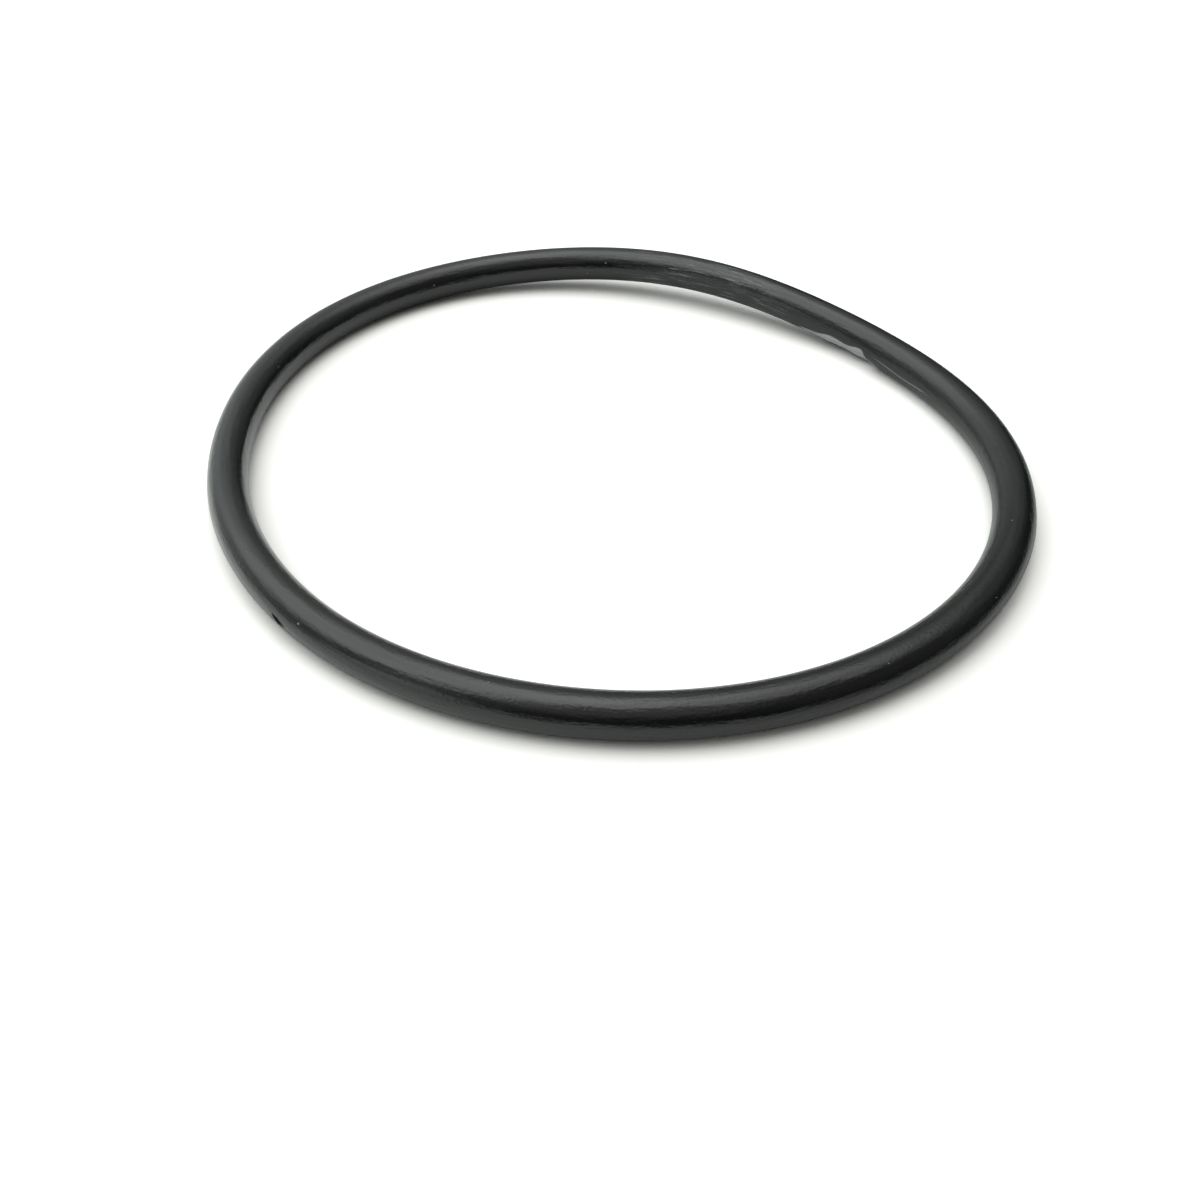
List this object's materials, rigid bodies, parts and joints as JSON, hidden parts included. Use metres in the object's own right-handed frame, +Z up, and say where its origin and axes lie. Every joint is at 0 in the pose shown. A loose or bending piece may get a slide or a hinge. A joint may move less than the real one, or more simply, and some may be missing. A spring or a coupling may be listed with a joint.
{
  "type": "o-ring",
  "caption": "Moulded rubber O-ring seal: a round black cord closed into a loop, lying free and a little out of round, arched off the surface at the back, with a trimming scar inside.",
  "frame": {"origin": "middle of the ring's outer box, on the surface it lies on", "axes": "+Z up, square to the ring's plane; the picture was taken from the -Y side, with +X to its right"},
  "size_m": [0.1098, 0.1142, 0.0073],
  "materials": {
    "rubber": "satin, as moulded, glossy where a knife has shaved it"
  },
  "bodies": {
    "root": {"o_ring": "rubber"}
  },
  "joints": []
}
